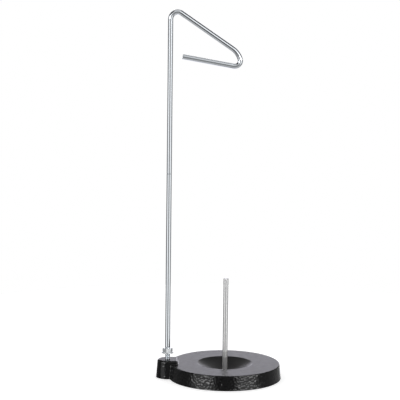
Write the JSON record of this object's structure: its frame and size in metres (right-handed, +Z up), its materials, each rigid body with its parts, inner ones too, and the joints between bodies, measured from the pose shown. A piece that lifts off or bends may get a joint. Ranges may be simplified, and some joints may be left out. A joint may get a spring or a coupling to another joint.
{
  "type": "thread spool holder",
  "caption": "Free-standing thread spool holder: round cast foot with a dished top and a spool spindle, and a tall swivelling guide rod bent into an open thread eye and locked by a flange nut.",
  "frame": {"origin": "on the flat underside, below the spool spindle's axis", "axes": "+Z up along the spindle, -X towards the boss of the guide rod, and the thread eye bends back towards +X over the spindle"},
  "size_m": [0.1556, 0.14, 0.454],
  "materials": {
    "black_enamel": "gloss black enamel over a pebbled casting, smoother on the machined top",
    "spindle_zinc": "dull bright zinc plate",
    "rod_zinc": "bright zinc plate with faint lengthwise drawing lines",
    "nut_zinc": "bright zinc plate"
  },
  "bodies": {
    "base": {"base_casting": "black_enamel", "spool_spindle": "spindle_zinc"},
    "guide": {"lower_rod": "rod_zinc", "wire_guide": "rod_zinc"},
    "nut": {"lock_nut": "nut_zinc"}
  },
  "joints": [
    {"name": "guide_swivel", "type": "hinge", "parent": "base", "child": "guide", "pos_m": [-0.0714, 0, 0.0225], "axis": [0, 0, 1], "range_deg": [-180, 180]},
    {"name": "nut_travel", "type": "slide", "parent": "guide", "child": "nut", "axis": [0, 0, 1], "range_m": [-0.00775, 0]}
  ]
}
